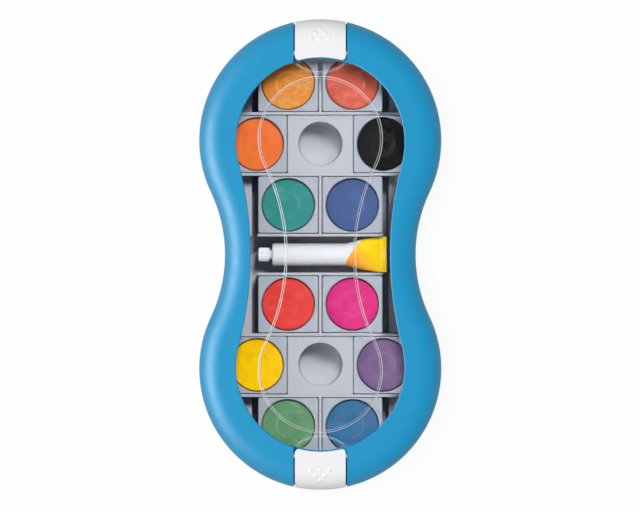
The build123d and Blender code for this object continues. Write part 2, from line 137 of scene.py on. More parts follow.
class Graph:
    """Adds nodes to a node tree and joins them."""

    def __init__(self, tree: bpy.types.NodeTree) -> None:
        """Takes the tree to build in.

        Args:
            tree: A material's, world's or geometry's node tree.
        """
        self.tree = tree

    def add(self, kind: str, inputs: dict[str | int, object] | None = None,
            **settings: object) -> bpy.types.Node:
        """Adds one node.

        Args:
            kind: The node's type name.
            inputs: By socket name or number, a value or the output that feeds it.
            **settings: The node's own properties.

        Returns:
            The new node.
        """
        node = self.tree.nodes.new(kind)
        for name, value in settings.items():
            setattr(node, name, value)
        for key, value in (inputs or {}).items():
            if isinstance(value, bpy.types.NodeSocket):
                self.tree.links.new(value, node.inputs[key])
            else:
                node.inputs[key].default_value = value
        return node

    def maths(self, operation: str, *values: object) -> bpy.types.NodeSocket:
        """One sum of numbers.

        Args:
            operation: The Math node's operation.
            *values: Its inputs in order.

        Returns:
            The result's socket.
        """
        node = self.add("ShaderNodeMath", dict(enumerate(values)), operation=operation)
        return node.outputs[0]

    def vectors(self, operation: str, *values: object) -> bpy.types.NodeSocket:
        """One sum of vectors that gives a vector.

        Args:
            operation: The Vector Math node's operation.
            *values: Its inputs in order.

        Returns:
            The result's socket.
        """
        node = self.add("ShaderNodeVectorMath", dict(enumerate(values)), operation=operation)
        return node.outputs[0]

    def length(self, vector: object) -> bpy.types.NodeSocket:
        """A vector's length."""
        return self.add("ShaderNodeVectorMath", {0: vector}, operation="LENGTH").outputs["Value"]

    def flattened(self, place: object) -> bpy.types.NodeSocket:
        """The same place with its height taken out."""
        return self.vectors("MULTIPLY", place, (1, 1, 0))

    def parts(self, place: object) -> bpy.types.bpy_prop_collection:
        """A place's X, Y and Z as three outputs."""
        return self.add("ShaderNodeSeparateXYZ", {0: place}).outputs

    def spread(self, value: object, low: float, high: float, new_low: object,
               new_high: object, smooth: bool = False) -> bpy.types.NodeSocket:
        """Maps a number from one range onto another, clamped.

        Args:
            value: The number to map.
            low: Start of its range.
            high: End of its range.
            new_low: What low becomes.
            new_high: What high becomes.
            smooth: Whether the change eases in and out.

        Returns:
            The mapped number's socket.
        """
        node = self.add("ShaderNodeMapRange", {0: value, 1: low, 2: high, 3: new_low, 4: new_high},
                        interpolation_type="SMOOTHSTEP" if smooth else "LINEAR")
        return node.outputs[0]

    def weigh(self, first: object, second: object, share: float) -> bpy.types.NodeSocket:
        """A share of one number and the rest of another, added up."""
        return self.maths("ADD", self.maths("MULTIPLY", first, share),
                          self.maths("MULTIPLY", second, 1 - share))

    def blend(self, share: object, first: object, second: object) -> bpy.types.NodeSocket:
        """Mixes two colours.

        Args:
            share: How much of the second shows.
            first: The colour at 0.
            second: The colour at 1.

        Returns:
            The mixed colour's socket.
        """
        node = self.add("ShaderNodeMix", {0: share, 6: first, 7: second}, data_type="RGBA")
        return node.outputs[2]

    def noise(self, place: object, scale: float, detail: float = 2.0, seed: float = 0.0,
              roughness: float = 0.5) -> bpy.types.NodeSocket:
        """Smooth noise from about 0 to 1.

        Args:
            place: The coordinates it is read at.
            scale: Waves to a metre.
            detail: How many finer layers it has.
            seed: Picks another pattern of the same kind.
            roughness: The finer layers' strength.

        Returns:
            The noise's socket.
        """
        node = self.add("ShaderNodeTexNoise", {"Vector": place, "W": seed, "Scale": scale,
                                               "Detail": detail, "Roughness": roughness},
                        noise_dimensions="4D")
        return node.outputs[0]

    def place(self, centre: Point = (0, 0, 0), stretch: Point = (1, 1, 1)) -> bpy.types.NodeSocket:
        """The piece's own Object coordinates, centred and stretched.

        Args:
            centre: The point that becomes the origin.
            stretch: What each axis is multiplied by.

        Returns:
            The coordinates' socket.
        """
        own = self.add("ShaderNodeTexCoord").outputs["Object"]
        return self.vectors("MULTIPLY", self.vectors("SUBTRACT", own, centre), stretch)

    def bump(self, height: object, depth: float,
             over: bpy.types.NodeSocket | None = None) -> bpy.types.NodeSocket:
        """Bends a surface's normal by a height.

        Args:
            height: The height, from 0 to 1.
            depth: What a height of 1 stands for.
            over: An earlier bump's normal that this one is added to.

        Returns:
            The bent normal's socket.
        """
        inputs = {"Strength": 1.0, "Distance": depth, "Height": height}
        if over is not None:
            inputs["Normal"] = over
        return self.add("ShaderNodeBump", inputs).outputs[0]

    def principled(self, inputs: dict[str, object]) -> bpy.types.NodeSocket:
        """A Principled shader with these inputs."""
        return self.add("ShaderNodeBsdfPrincipled", inputs).outputs[0]

    def shader_blend(self, share: object, first: object, second: object) -> bpy.types.NodeSocket:
        """Mixes two shaders, of which share is how much of the second shows."""
        return self.add("ShaderNodeMixShader", {0: share, 1: first, 2: second}).outputs[0]

    def rays(self) -> bpy.types.bpy_prop_collection:
        """The outputs that say what kind of ray meets the surface."""
        return self.add("ShaderNodeLightPath").outputs

    def seen_directly(self) -> bpy.types.NodeSocket:
        """Whether a ray comes from the camera, or from it by way of gloss or glass.

        Returns:
            A socket that is 1 for such a ray and 0 for light that only falls on things.
        """
        rays = self.rays()
        share = self.maths("MAXIMUM", rays["Is Camera Ray"], rays["Is Glossy Ray"])
        share = self.maths("MAXIMUM", share, rays["Is Transmission Ray"])
        unscattered = self.maths("LESS_THAN", rays["Diffuse Depth"], 0.5)
        return self.maths("MULTIPLY", share, unscattered)


class Finish:
    """What every finish shares: a name, a material made once, and dressing a piece in it."""

    name: str

    def shade(self, graph: Graph) -> bpy.types.NodeSocket:
        """Builds the shader.

        Args:
            graph: The material's node tree.

        Returns:
            The shader's output.
        """
        raise NotImplementedError

    def material(self) -> bpy.types.Material:
        """The finish's material, made at its first use.

        Returns:
            The Blender material.
        """
        found = bpy.data.materials.get(self.name)
        if found:
            return found
        made = bpy.data.materials.new(self.name)
        made.use_nodes = True
        made.node_tree.nodes.clear()
        graph = Graph(made.node_tree)
        graph.add("ShaderNodeOutputMaterial", {"Surface": self.shade(graph)})
        return made

    def dress(self, piece: bpy.types.Object) -> None:
        """Gives the finish to a piece.

        Args:
            piece: A new piece, or a CAD node, whose material slots are kept.
        """
        if not piece.material_slots:
            piece.data.materials.append(self.material())
        for slot in piece.material_slots:
            slot.material = self.material()


@dataclass(frozen=True)
class MouldedPlastic(Finish):
    """Injection-moulded plastic: faint flow marks, a fine grain and a slightly uneven gloss.

    mottle is how far its tone strays either way. passed_on is the share of its colour in the
    light that it throws into its own hollows.
    """

    name: str
    colour: Srgb
    roughness: float = 0.4
    specular: float = 0.5
    mottle: float = 0.03
    grain_scale: float = 2400.0
    grain_depth: float = 4e-6
    seed: float = 1.0
    passed_on: float = 1.0
    streak_scale: float = 190.0
    streak_stretch: float = 0.22
    streak_share: float = 0.35
    cloud_scale: float = 55.0
    wear_scale: float = 420.0
    noise_band: Band = (0.3, 0.7)
    wear_smoother: float = 0.05
    wear_rougher: float = 0.06

    def shade(self, graph: Graph) -> bpy.types.NodeSocket:
        """Builds the plastic's shader.

        Args:
            graph: The material's node tree.

        Returns:
            The shader's output.
        """
        place = graph.place()
        streaks = graph.noise(graph.place(stretch=(1.0, self.streak_stretch, 1.0)),
                              self.streak_scale, detail=3, seed=self.seed)
        clouds = graph.noise(place, self.cloud_scale, detail=2, seed=self.seed + 1)
        tone = graph.spread(graph.weigh(streaks, clouds, self.streak_share), *self.noise_band, 0.0, 1.0)
        colour = graph.blend(tone, self.colour.linear(1 - self.mottle),
                             self.colour.linear(1 + self.mottle))
        if self.passed_on < 1.0:
            colour = graph.blend(graph.rays()["Is Diffuse Ray"], colour,
                                 self.colour.linear(self.passed_on))
        wear = graph.noise(place, self.wear_scale, detail=4, seed=self.seed + 2)
        roughness = graph.spread(wear, *self.noise_band, self.roughness - self.wear_smoother,
                                 self.roughness + self.wear_rougher)
        grain = graph.noise(place, self.grain_scale, detail=2, seed=self.seed + 3)
        return graph.principled({"Base Color": colour, "Roughness": roughness,
                              "Normal": graph.bump(grain, self.grain_depth),
                              "Specular IOR Level": self.specular})


@dataclass(frozen=True)
class PressedPaint(Finish):
    """Pressed dry gouache: powdery, a little uneven in tone, with a faint polish from the press. A
    broken painted highlight rings its dish.

    A share is a strength from 0 to 1, and a shade is what the colour is multiplied by. The darker rim
    round the tablet's edge is painted shade.
    """

    name: str
    colour: Srgb
    centre: Point
    radius: float
    seed: float
    roughness: float = 0.5
    patch: Srgb | None = None
    dish_radius: float = 0.0
    specular: float = 0.25
    patch_scale: float = 95.0
    patch_share: float = 0.6
    polish_band: Band = (0.35, 0.65)
    polish_range: float = 0.2
    stroke_scale: float = 240.0
    stroke_stretch: float = 0.45
    stroke_depth: float = 6e-5
    tone_band: Band = (0.33, 0.67)
    tone_shades: Band = (0.9, 1.07)
    powder_scale: float = 2600.0
    powder_roughness: float = 0.7
    powder_depth: float = 1.6e-5
    powder_band: Band = (0.55, 0.8)
    powder_share: float = 0.16
    powder_shade: float = 1.35
    cloud_scale: float = 120.0
    cloud_stretch: float = 1.6
    cloud_band: Band = (0.5, 0.68)
    cloud_share: float = 0.75
    dish_highlight_place: float = 0.9
    dish_highlight_width: float = 1.1 * MM
    dish_highlight_band: Band = (0.45, 0.6)
    dish_highlight_share: float = 0.5
    dish_highlight_shade: float = 1.25
    rim_shadow_place: float = 0.93
    rim_shadow_share: float = 0.35
    rim_shadow_shade: float = 0.72

    def shade(self, graph: Graph) -> bpy.types.NodeSocket:
        """Builds the paint's shader.

        Args:
            graph: The material's node tree.

        Returns:
            The shader's output.
        """
        place = graph.place(self.centre)
        patches = graph.noise(place, self.patch_scale, detail=3, seed=self.seed)
        strokes = graph.noise(graph.place(self.centre, (1.0, self.stroke_stretch, 1.0)),
                              self.stroke_scale, detail=3, seed=self.seed + 1)
        powder = graph.noise(place, self.powder_scale, detail=3, seed=self.seed + 2,
                             roughness=self.powder_roughness)
        tone = graph.spread(graph.weigh(patches, strokes, self.patch_share), *self.tone_band,
                            0.0, 1.0, smooth=True)
        dark, light = (self.colour.linear(shade) for shade in self.tone_shades)
        body = graph.blend(tone, dark, light)
        dusty = graph.spread(powder, *self.powder_band, 0.0, self.powder_share)
        body = graph.blend(dusty, body, self.colour.linear(self.powder_shade))
        reach = graph.length(graph.flattened(place))
        if self.patch:
            body = self.uneven(graph, body, patches, reach)
        # Painted shade: the colour darkens towards the tablet's edge, where it meets the pan's wall.
        rim = graph.spread(reach, self.radius * self.rim_shadow_place, self.radius, 0.0,
                           self.rim_shadow_share, smooth=True)
        body = graph.blend(rim, body, self.colour.linear(self.rim_shadow_shade))
        polish = graph.spread(patches, *self.polish_band, self.roughness,
                              self.roughness + self.polish_range)
        normal = graph.bump(strokes, self.stroke_depth, graph.bump(powder, self.powder_depth))
        return graph.principled({"Base Color": body, "Roughness": polish, "Normal": normal,
                              "Specular IOR Level": self.specular})

    def uneven(self, graph: Graph, body: object, patches: object,
               reach: object) -> bpy.types.NodeSocket:
        """Lays unevenly pressed patches over the paint's colour, and a broken painted highlight round
        the dish's edge.

        Args:
            graph: The material's node tree.
            body: The colour so far.
            patches: The noise that breaks up the painted highlight.
            reach: The distance from the tablet's axis.

        Returns:
            The new colour's socket.
        """
        clouds = graph.noise(graph.place(self.centre, (1.0, self.cloud_stretch, 1.0)),
                             self.cloud_scale, detail=2, seed=self.seed + 4)
        pressed = graph.spread(clouds, *self.cloud_band, 0.0, self.cloud_share, smooth=True)
        body = graph.blend(pressed, body, self.patch.linear())
        # Painted highlight: a lighter band round the dish's edge, broken by noise, for the light that
        # the dish's rim catches.
        beside = graph.maths("SUBTRACT", reach, self.dish_radius * self.dish_highlight_place)
        lip = graph.spread(graph.maths("ABSOLUTE", beside), 0.0, self.dish_highlight_width,
                           self.dish_highlight_share, 0.0, smooth=True)
        lip = graph.maths("MULTIPLY", lip, graph.spread(patches, *self.dish_highlight_band, 0.0, 1.0))
        return graph.blend(lip, body, self.patch.linear(self.dish_highlight_shade))


@dataclass(frozen=True)
class ClearPlastic(Finish):
    """Clear polished plastic with a faint veil on its panel, and edges that catch the light.

    A veil is the share of milky plastic that shows over the clear one. On the edges, the milky plastic
    is a painted highlight, lit by the lamps, for the light that clear edges catch.
    """

    name: str
    panel_veil: float = 0.004
    edge_glint_veil: float = 0.7
    dust_veil: float = 0.02
    dust_scale: float = 1900.0
    dust_band: Band = (0.7, 0.8)
    dust_seed: float = 5.0
    smear_scale: float = 130.0
    smear_stretch: float = 0.3
    smear_band: Band = (0.35, 0.7)
    smear_roughness: Band = (0.015, 0.05)
    smear_seed: float = 4.0
    refraction: float = 1.32
    clear_tint: Rgba = (0.985, 0.99, 0.995, 1.0)
    milk_tint: Rgba = (0.95, 0.96, 0.97, 1.0)
    milk_roughness: float = 0.35
    shadow_tint: Rgba = (0.975, 0.98, 0.985, 1.0)

    def shade(self, graph: Graph) -> bpy.types.NodeSocket:
        """Builds the shader, which lets lamps through to what lies under the plastic.

        Args:
            graph: The material's node tree.

        Returns:
            The shader's output.
        """
        smears = graph.noise(graph.place(stretch=(1.0, self.smear_stretch, 1.0)),
                             self.smear_scale, detail=3, seed=self.smear_seed)
        roughness = graph.spread(smears, *self.smear_band, *self.smear_roughness)
        clear = graph.principled({"Base Color": self.clear_tint, "Roughness": roughness,
                               "Transmission Weight": 1.0, "IOR": self.refraction})
        milk = graph.principled({"Base Color": self.milk_tint, "Roughness": self.milk_roughness})
        dust = graph.noise(graph.place(), self.dust_scale, detail=2, seed=self.dust_seed)
        edge = graph.add("ShaderNodeAttribute", attribute_name="edge").outputs["Fac"]
        panel = graph.add("ShaderNodeAttribute", attribute_name="panel").outputs["Fac"]
        veil = graph.maths("MULTIPLY", panel, self.panel_veil)
        # Painted highlight: edge faces turn mostly milky white and stand in for glints of light on the
        # clear edges.
        veil = graph.maths("MULTIPLY_ADD", edge, self.edge_glint_veil, veil)
        veil = graph.maths("ADD", veil, graph.spread(dust, *self.dust_band, 0.0, self.dust_veil))
        through = graph.add("ShaderNodeBsdfTransparent", {"Color": self.shadow_tint}).outputs[0]
        seen = graph.shader_blend(veil, clear, milk)
        return graph.shader_blend(graph.rays()["Is Shadow Ray"], seen, through)


@dataclass(frozen=True)
class TubeEnamel(Finish):
    """Enamelled soft aluminium: white, with a slanting yellow end that warms to orange.

    The metal shows where the enamel is rubbed off along the fold's end.
    """

    name: str
    band_start: float
    band_slant: float
    end_x: float
    band_edge: float = 0.25 * MM
    band_bend: float = 28.0
    warm_slant: float = 0.9
    warm_before: float = 4.0 * MM
    warm_after: float = 17.0 * MM
    rubbed_from: float = 0.9 * MM
    rubbed_until: float = 0.1 * MM
    rub_scale: float = 900.0
    rub_band: Band = (0.52, 0.62)
    rub_seed: float = 8.0
    smudge_scale: float = 320.0
    smudge_band: Band = (0.35, 0.65)
    smudge_shade: float = 0.95
    smudge_seed: float = 7.0
    roughness: Band = (0.26, 0.4)
    ripple_scale: float = 1500.0
    ripple_depth: float = 1.2e-5
    ripple_seed: float = 9.0
    varnish: float = 0.35
    varnish_roughness: float = 0.1
    white: Srgb = Srgb(224, 225, 229)
    yellow: Srgb = Srgb(255, 214, 0)
    orange: Srgb = Srgb(246, 152, 36)
    metal: Srgb = Srgb(196, 190, 176)

    def shade(self, graph: Graph) -> bpy.types.NodeSocket:
        """Builds the enamel's shader.

        Args:
            graph: The material's node tree.

        Returns:
            The shader's output.
        """
        place = graph.place()
        along, across, _ = graph.parts(place)
        smudge = graph.noise(place, self.smudge_scale, detail=3, seed=self.smudge_seed)
        white = graph.blend(smudge, self.white.linear(self.smudge_shade), self.white.linear())
        warm = graph.spread(graph.maths("MULTIPLY_ADD", across, self.warm_slant, along),
                            self.band_start - self.warm_before, self.band_start + self.warm_after,
                            1.0, 0.0, smooth=True)
        printed = graph.blend(warm, self.yellow.linear(), self.orange.linear())
        bend = graph.maths("MULTIPLY", graph.maths("MULTIPLY", across, across), self.band_bend)
        reach = graph.maths("MULTIPLY_ADD", across, -self.band_slant, along)
        band = graph.spread(graph.maths("SUBTRACT", reach, bend), self.band_start,
                            self.band_start + self.band_edge, 0.0, 1.0)
        rubbed = graph.spread(graph.noise(place, self.rub_scale, detail=4, seed=self.rub_seed),
                              *self.rub_band, 0.0, 1.0)
        bare = graph.spread(along, self.end_x - self.rubbed_from, self.end_x - self.rubbed_until,
                            0.0, 1.0)
        bare = graph.maths("MULTIPLY", rubbed, bare)
        colour = graph.blend(bare, graph.blend(band, white, printed), self.metal.linear())
        ripple = graph.noise(place, self.ripple_scale, detail=2, seed=self.ripple_seed)
        return graph.principled({
            "Base Color": colour, "Metallic": bare, "Normal": graph.bump(ripple, self.ripple_depth),
            "Roughness": graph.spread(smudge, *self.smudge_band, *self.roughness),
            "Coat Weight": self.varnish, "Coat Roughness": self.varnish_roughness})


@dataclass(frozen=True)
class StudioPaper(Finish):
    """The pale floor: it takes the box's shadow and shows as white to the camera and in gloss.

    Light that it throws back onto the box is held down, as a studio's black cards would.
    """

    name: str
    glow: float = 0.94
    held_down: Rgba = (0.5, 0.5, 0.5, 1.0)
    fibre_scale: float = 700.0
    fibre_seed: float = 11.0
    fibre_dark: Rgba = (0.88, 0.88, 0.88, 1.0)
    fibre_light: Rgba = (0.92, 0.92, 0.92, 1.0)

    def shade(self, graph: Graph) -> bpy.types.NodeSocket:
        """Builds the floor's shader.

        Args:
            graph: The material's node tree.

        Returns:
            The shader's output.
        """
        fibres = graph.noise(graph.place(), self.fibre_scale, detail=3, seed=self.fibre_seed)
        paper = graph.blend(fibres, self.fibre_dark, self.fibre_light)
        thrown = graph.blend(graph.rays()["Is Diffuse Ray"], paper, self.held_down)
        cloth = graph.add("ShaderNodeBsdfDiffuse", {"Color": thrown}).outputs[0]
        white = graph.add("ShaderNodeEmission", {"Color": WHITE, "Strength": 1.0}).outputs[0]
        share = graph.maths("MULTIPLY", graph.seen_directly(), self.glow)
        return graph.shader_blend(share, cloth, white)


def keep_result(piece: bpy.types.Object) -> None:
    """Makes what a piece's modifiers show into its plain mesh, and removes the modifiers.

    Args:
        piece: The piece to change.
    """
    piece.update_tag()
    graph = bpy.context.evaluated_depsgraph_get()
    made = bpy.data.meshes.new_from_object(piece.evaluated_get(graph), depsgraph=graph,
                                           preserve_all_data_layers=True)
    piece.modifiers.clear()
    old, piece.data = piece.data, made
    bpy.data.meshes.remove(old)
    made.name = piece.name


class NodeRule:
    """A Geometry Nodes tree with named inputs. It is run once on a piece and leaves a plain mesh."""

    def __init__(self, name: str) -> None:
        """Starts the tree.

        Args:
            name: The tree's name.
        """
        self.tree = bpy.data.node_groups.new(name, "GeometryNodeTree")
        self.graph = Graph(self.tree)
        self.identifiers: dict[str, str] = {}
        self.entry = self.tree.nodes.new("NodeGroupInput")
        self.mesh = self.size("Geometry", "NodeSocketGeometry")
        self.tree.interface.new_socket("Geometry", in_out="OUTPUT",
                                       socket_type="NodeSocketGeometry")
        self.build()

    def build(self) -> None:
        """Adds the tree's own nodes and ends it."""
        raise NotImplementedError

    def size(self, name: str, kind: str = "NodeSocketFloat") -> bpy.types.NodeSocket:
        """Adds a named input.

        Args:
            name: The input's name.
            kind: Its socket type.

        Returns:
            The input's socket inside the tree.
        """
        item = self.tree.interface.new_socket(name, in_out="INPUT", socket_type=kind)
        self.identifiers[name] = item.identifier
        return self.entry.outputs[item.identifier]

    def end(self, offset: bpy.types.NodeSocket) -> None:
        """Moves the piece's surface and ends the tree in real geometry with its material.

        Args:
            offset: How far each point moves.
        """
        material = self.size("Material", "NodeSocketMaterial")
        moved = self.graph.add("GeometryNodeSetPosition", {"Geometry": self.mesh, "Offset": offset})
        real = self.graph.add("GeometryNodeRealizeInstances", {0: moved.outputs[0]})
        dressed = self.graph.add("GeometryNodeSetMaterial",
                                 {"Geometry": real.outputs[0], "Material": material})
        self.graph.add("NodeGroupOutput", {0: dressed.outputs[0]})

    def run(self, piece: bpy.types.Object, values: dict[str, object]) -> None:
        """Runs the tree on a piece and keeps the result as its mesh.

        Args:
            piece: The piece to change.
            values: The inputs by name.
        """
        modifier = piece.modifiers.new(self.tree.name, "NODES")
        modifier.node_group = self.tree
        for name, value in values.items():
            modifier[self.identifiers[name]] = value
        keep_result(piece)


class PressedRelief(NodeRule):
    """Moves a paint tablet's top up and down a little, as an uneven press leaves it."""

    FADE_BAND: Band = (0.72, 0.97)
    TOP_BAND: Band = (1.0 * MM, 3.0 * MM)
    FINER = 2.6
    FINE_SHARE = 0.35

    def build(self) -> None:
        """Adds the nodes that lift the top by noise, fading out at the tablet's edge."""
        graph = self.graph
        centre = self.size("Centre", "NodeSocketVector")
        radius, height = self.size("Radius"), self.size("Relief Height")
        scale, seed = self.size("Waves Per Metre"), self.size("Seed")
        place = graph.add("GeometryNodeInputPosition").outputs[0]
        local = graph.vectors("SUBTRACT", place, centre)
        flat = graph.flattened(local)
        reach = graph.maths("DIVIDE", graph.length(flat), radius)
        fade = graph.spread(reach, *self.FADE_BAND, 1.0, 0.0, smooth=True)
        top = graph.spread(graph.parts(local)[2], *self.TOP_BAND, 0.0, 1.0)
        broad = self.waves(flat, scale, seed)
        fine = self.waves(flat, graph.maths("MULTIPLY", scale, self.FINER), seed)
        wave = graph.maths("MULTIPLY_ADD", fine, self.FINE_SHARE, broad)
        lift = graph.maths("MULTIPLY", graph.maths("MULTIPLY", wave, height),
                           graph.maths("MULTIPLY", fade, top))
        self.end(graph.add("ShaderNodeCombineXYZ", {2: lift}).outputs[0])

    def waves(self, place: object, scale: object, seed: object) -> bpy.types.NodeSocket:
        """Noise from about -1 to 1.

        Args:
            place: Where it is read.
            scale: Waves to a metre.
            seed: Picks the pattern.

        Returns:
            The noise's socket.
        """
        noise = self.graph.noise(place, scale, detail=1.0, seed=seed)
        return self.graph.maths("MULTIPLY_ADD", noise, 2.0, -1.0)


@dataclass(frozen=True)
class Ribs:
    """The ribs of one stretch of a piece that lies along X.

    around counts them round the axis and per_metre along it, and both together make a thread.
    Only what lies farther than least_radius from the axis is pressed, along the axes that
    direction holds. The ribs fade in and out over ease.
    """

    start: float
    end: float
    depth: float
    around: float = 0.0
    per_metre: float = 0.0
    least_radius: float = 0.0
    ease: float = 0.5 * MM
    direction: Point = (0.0, 1.0, 1.0)


class RibbedBand(NodeRule):
    """Presses ribs into a stretch of a piece that lies along X: round it, along it, or as a thread."""

    def build(self) -> None:
        """Adds the nodes that move the surface by a wave of its angle and its place along X."""
        graph = self.graph
        axis = self.size("Axis Height")
        around, along = self.size("Ribs Around"), self.size("Ribs Per Metre")
        depth, start, end = self.size("Depth"), self.size("Start"), self.size("End")
        least, ease = self.size("Least Radius"), self.size("Ease")
        direction = self.size("Direction", "NodeSocketVector")
        parts = graph.parts(graph.add("GeometryNodeInputPosition").outputs[0])
        height = graph.maths("SUBTRACT", parts[2], axis)
        angle = graph.maths("ARCTAN2", height, parts[1])
        turns = graph.maths("MULTIPLY", graph.maths("MULTIPLY", parts[0], along), TURN)
        phase = graph.maths("MULTIPLY_ADD", angle, around, turns)
        wave = graph.maths("MULTIPLY_ADD", graph.maths("COSINE", phase), 0.5, -0.5)
        rise = graph.maths("DIVIDE", graph.maths("SUBTRACT", parts[0], start), ease)
        fall = graph.maths("DIVIDE", graph.maths("SUBTRACT", end, parts[0]), ease)
        inside = graph.spread(graph.maths("MINIMUM", rise, fall), 0.0, 1.0, 0.0, 1.0)
        radial = graph.add("ShaderNodeCombineXYZ", {1: parts[1], 2: height}).outputs[0]
        outer = graph.maths("GREATER_THAN", graph.length(radial), least)
        amount = graph.maths("MULTIPLY", graph.maths("MULTIPLY", wave, depth),
                             graph.maths("MULTIPLY", inside, outer))
        push = graph.vectors("MULTIPLY", graph.vectors("NORMALIZE", radial), direction)
        offset = graph.add("ShaderNodeVectorMath", {0: push, "Scale": amount}, operation="SCALE")
        self.end(offset.outputs[0])

    def press(self, piece: bpy.types.Object, ribs: Ribs, axis_height: float,
              finish: Finish) -> None:
        """Presses ribs into one stretch of a piece.

        Args:
            piece: The piece to change.
            ribs: The stretch and its ribs.
            axis_height: The height of the piece's axis.
            finish: The piece's finish.
        """
        self.run(piece, {"Axis Height": axis_height, "Ribs Around": ribs.around,
                         "Ribs Per Metre": ribs.per_metre, "Depth": ribs.depth,
                         "Start": ribs.start, "End": ribs.end, "Least Radius": ribs.least_radius,
                         "Ease": ribs.ease, "Direction": ribs.direction,
                         "Material": finish.material()})


def spaced(start: float, end: float, count: int) -> list[float]:
    """Evenly spaced values.

    Args:
        start: The first value.
        end: The last value.
        count: How many steps lie between them.

    Returns:
        The values, with both ends.
    """
    return [start + (end - start) * step / count for step in range(count + 1)]


def quarter_round(count: int) -> list[tuple[float, float]]:
    """The sine and cosine of each step along a quarter turn, after its start."""
    return [(math.sin(angle), math.cos(angle)) for angle in spaced(0.0, math.pi / 2, count)[1:]]


def around(count: int) -> list[tuple[float, float]]:
    """The cosine and sine of even steps round a full turn."""
    return [(math.cos(TURN * i / count), math.sin(TURN * i / count)) for i in range(count)]


def skin(rings: Sequence[Ring], closed: bool = True) -> bmesh.types.BMesh:
    """A closed surface through a row of rings that all have the same number of points.

    Args:
        rings: The rings in order. A ring whose points all meet becomes a pole.
        closed: Whether the first and last rings get a face. Poles need none.

    Returns:
        The surface, its doubles merged and its faces turned outwards.
    """
    surface = bmesh.new()
    rows = [[surface.verts.new(point) for point in ring] for ring in rings]
    for low, high in zip(rows, rows[1:]):
        join_loops(surface, low, high)
    if closed:
        surface.faces.new(rows[0])
        surface.faces.new(rows[-1])
    bmesh.ops.remove_doubles(surface, verts=surface.verts, dist=MERGE_DISTANCE)
    bmesh.ops.recalc_face_normals(surface, faces=surface.faces)
    return surface


def join_loops(surface: bmesh.types.BMesh, low: Corners, high: Corners) -> None:
    """Joins two loops that match point for point.

    Args:
        surface: The surface to add to.
        low: The first loop.
        high: The second loop.
    """
    for i, corner in enumerate(low):
        j = (i + 1) % len(low)
        surface.faces.new((corner, low[j], high[j], high[i]))


def smooth(mesh: bpy.types.Mesh, sharp_angle: float) -> None:
    """Shades a mesh smooth, except along edges that bend more than this many degrees."""
    mesh.shade_smooth()
    mesh.set_sharp_from_angle(angle=math.radians(sharp_angle))


def piece_from(name: str, surface: bmesh.types.BMesh, sharp_angle: float = 32.0) -> bpy.types.Object:
    """Makes a surface into an object at the origin, smooth except along its sharp edges.

    Args:
        name: The piece's name.
        surface: Its surface, which is freed.
        sharp_angle: Edges that bend more than this many degrees stay sharp.

    Returns:
        The new object.
    """
    mesh = bpy.data.meshes.new(name)
    surface.to_mesh(mesh)
    surface.free()
    smooth(mesh, sharp_angle)
    piece = bpy.data.objects.new(name, mesh)
    bpy.context.scene.collection.objects.link(piece)
    return piece


def settle(piece: bpy.types.Object, body: str, slot: str, *nodes: str) -> None:
    """Fixes a finished piece to its body and hides the CAD nodes that it stands for.

    Args:
        piece: The finished piece.
        body: The CAD body that it rides on.
        slot: The record's material slot. Not used.
        *nodes: The CAD nodes that it replaces.
    """
    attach(piece, body)
    if nodes:
        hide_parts(*nodes)
    LOG.info("%s rides on %s, %d faces", piece.name, body, len(piece.data.polygons))


def dress_node(node: str, finish: Finish) -> None:
    """Gives a CAD node that keeps its own shape a better finish.

    Args:
        node: The CAD node.
        finish: Its finish.
    """
    finish.dress(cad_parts[node])
    LOG.info("%s keeps its CAD shape, in %s", node, finish.name)


@dataclass(frozen=True)
class FigureEight:
    """Two bulbs of one radius, at +-centre along Y, joined by a waist arc tangent to both."""

    radius: float
    centre: float
    waist: float
    bulb_steps: int = 120
    waist_steps: int = 40

    def points(self, inset: float = 0.0) -> list[FlatPoint]:
        """The outline moved inwards, anticlockwise from the right of the waist.

        Args:
            inset: How far inwards it is moved.

        Returns:
            The points, which match from inset to inset.
        """
        arc = ((self.waist ** 2 + self.centre ** 2 - self.radius ** 2)
               / (2 * (self.radius - self.waist)))
        lean = math.asin(self.centre / (self.radius + arc))
        bulb, bow = self.radius - inset, arc + inset
        found = [(bulb * math.cos(angle), self.centre + bulb * math.sin(angle))
                 for angle in spaced(-lean, math.pi + lean, self.bulb_steps)[:-1]]
        found += [(-self.waist - arc + bow * math.cos(angle), bow * math.sin(angle))
                  for angle in spaced(lean, -lean, self.waist_steps)[:-1]]
        return found + [(-x, -y) for x, y in found]


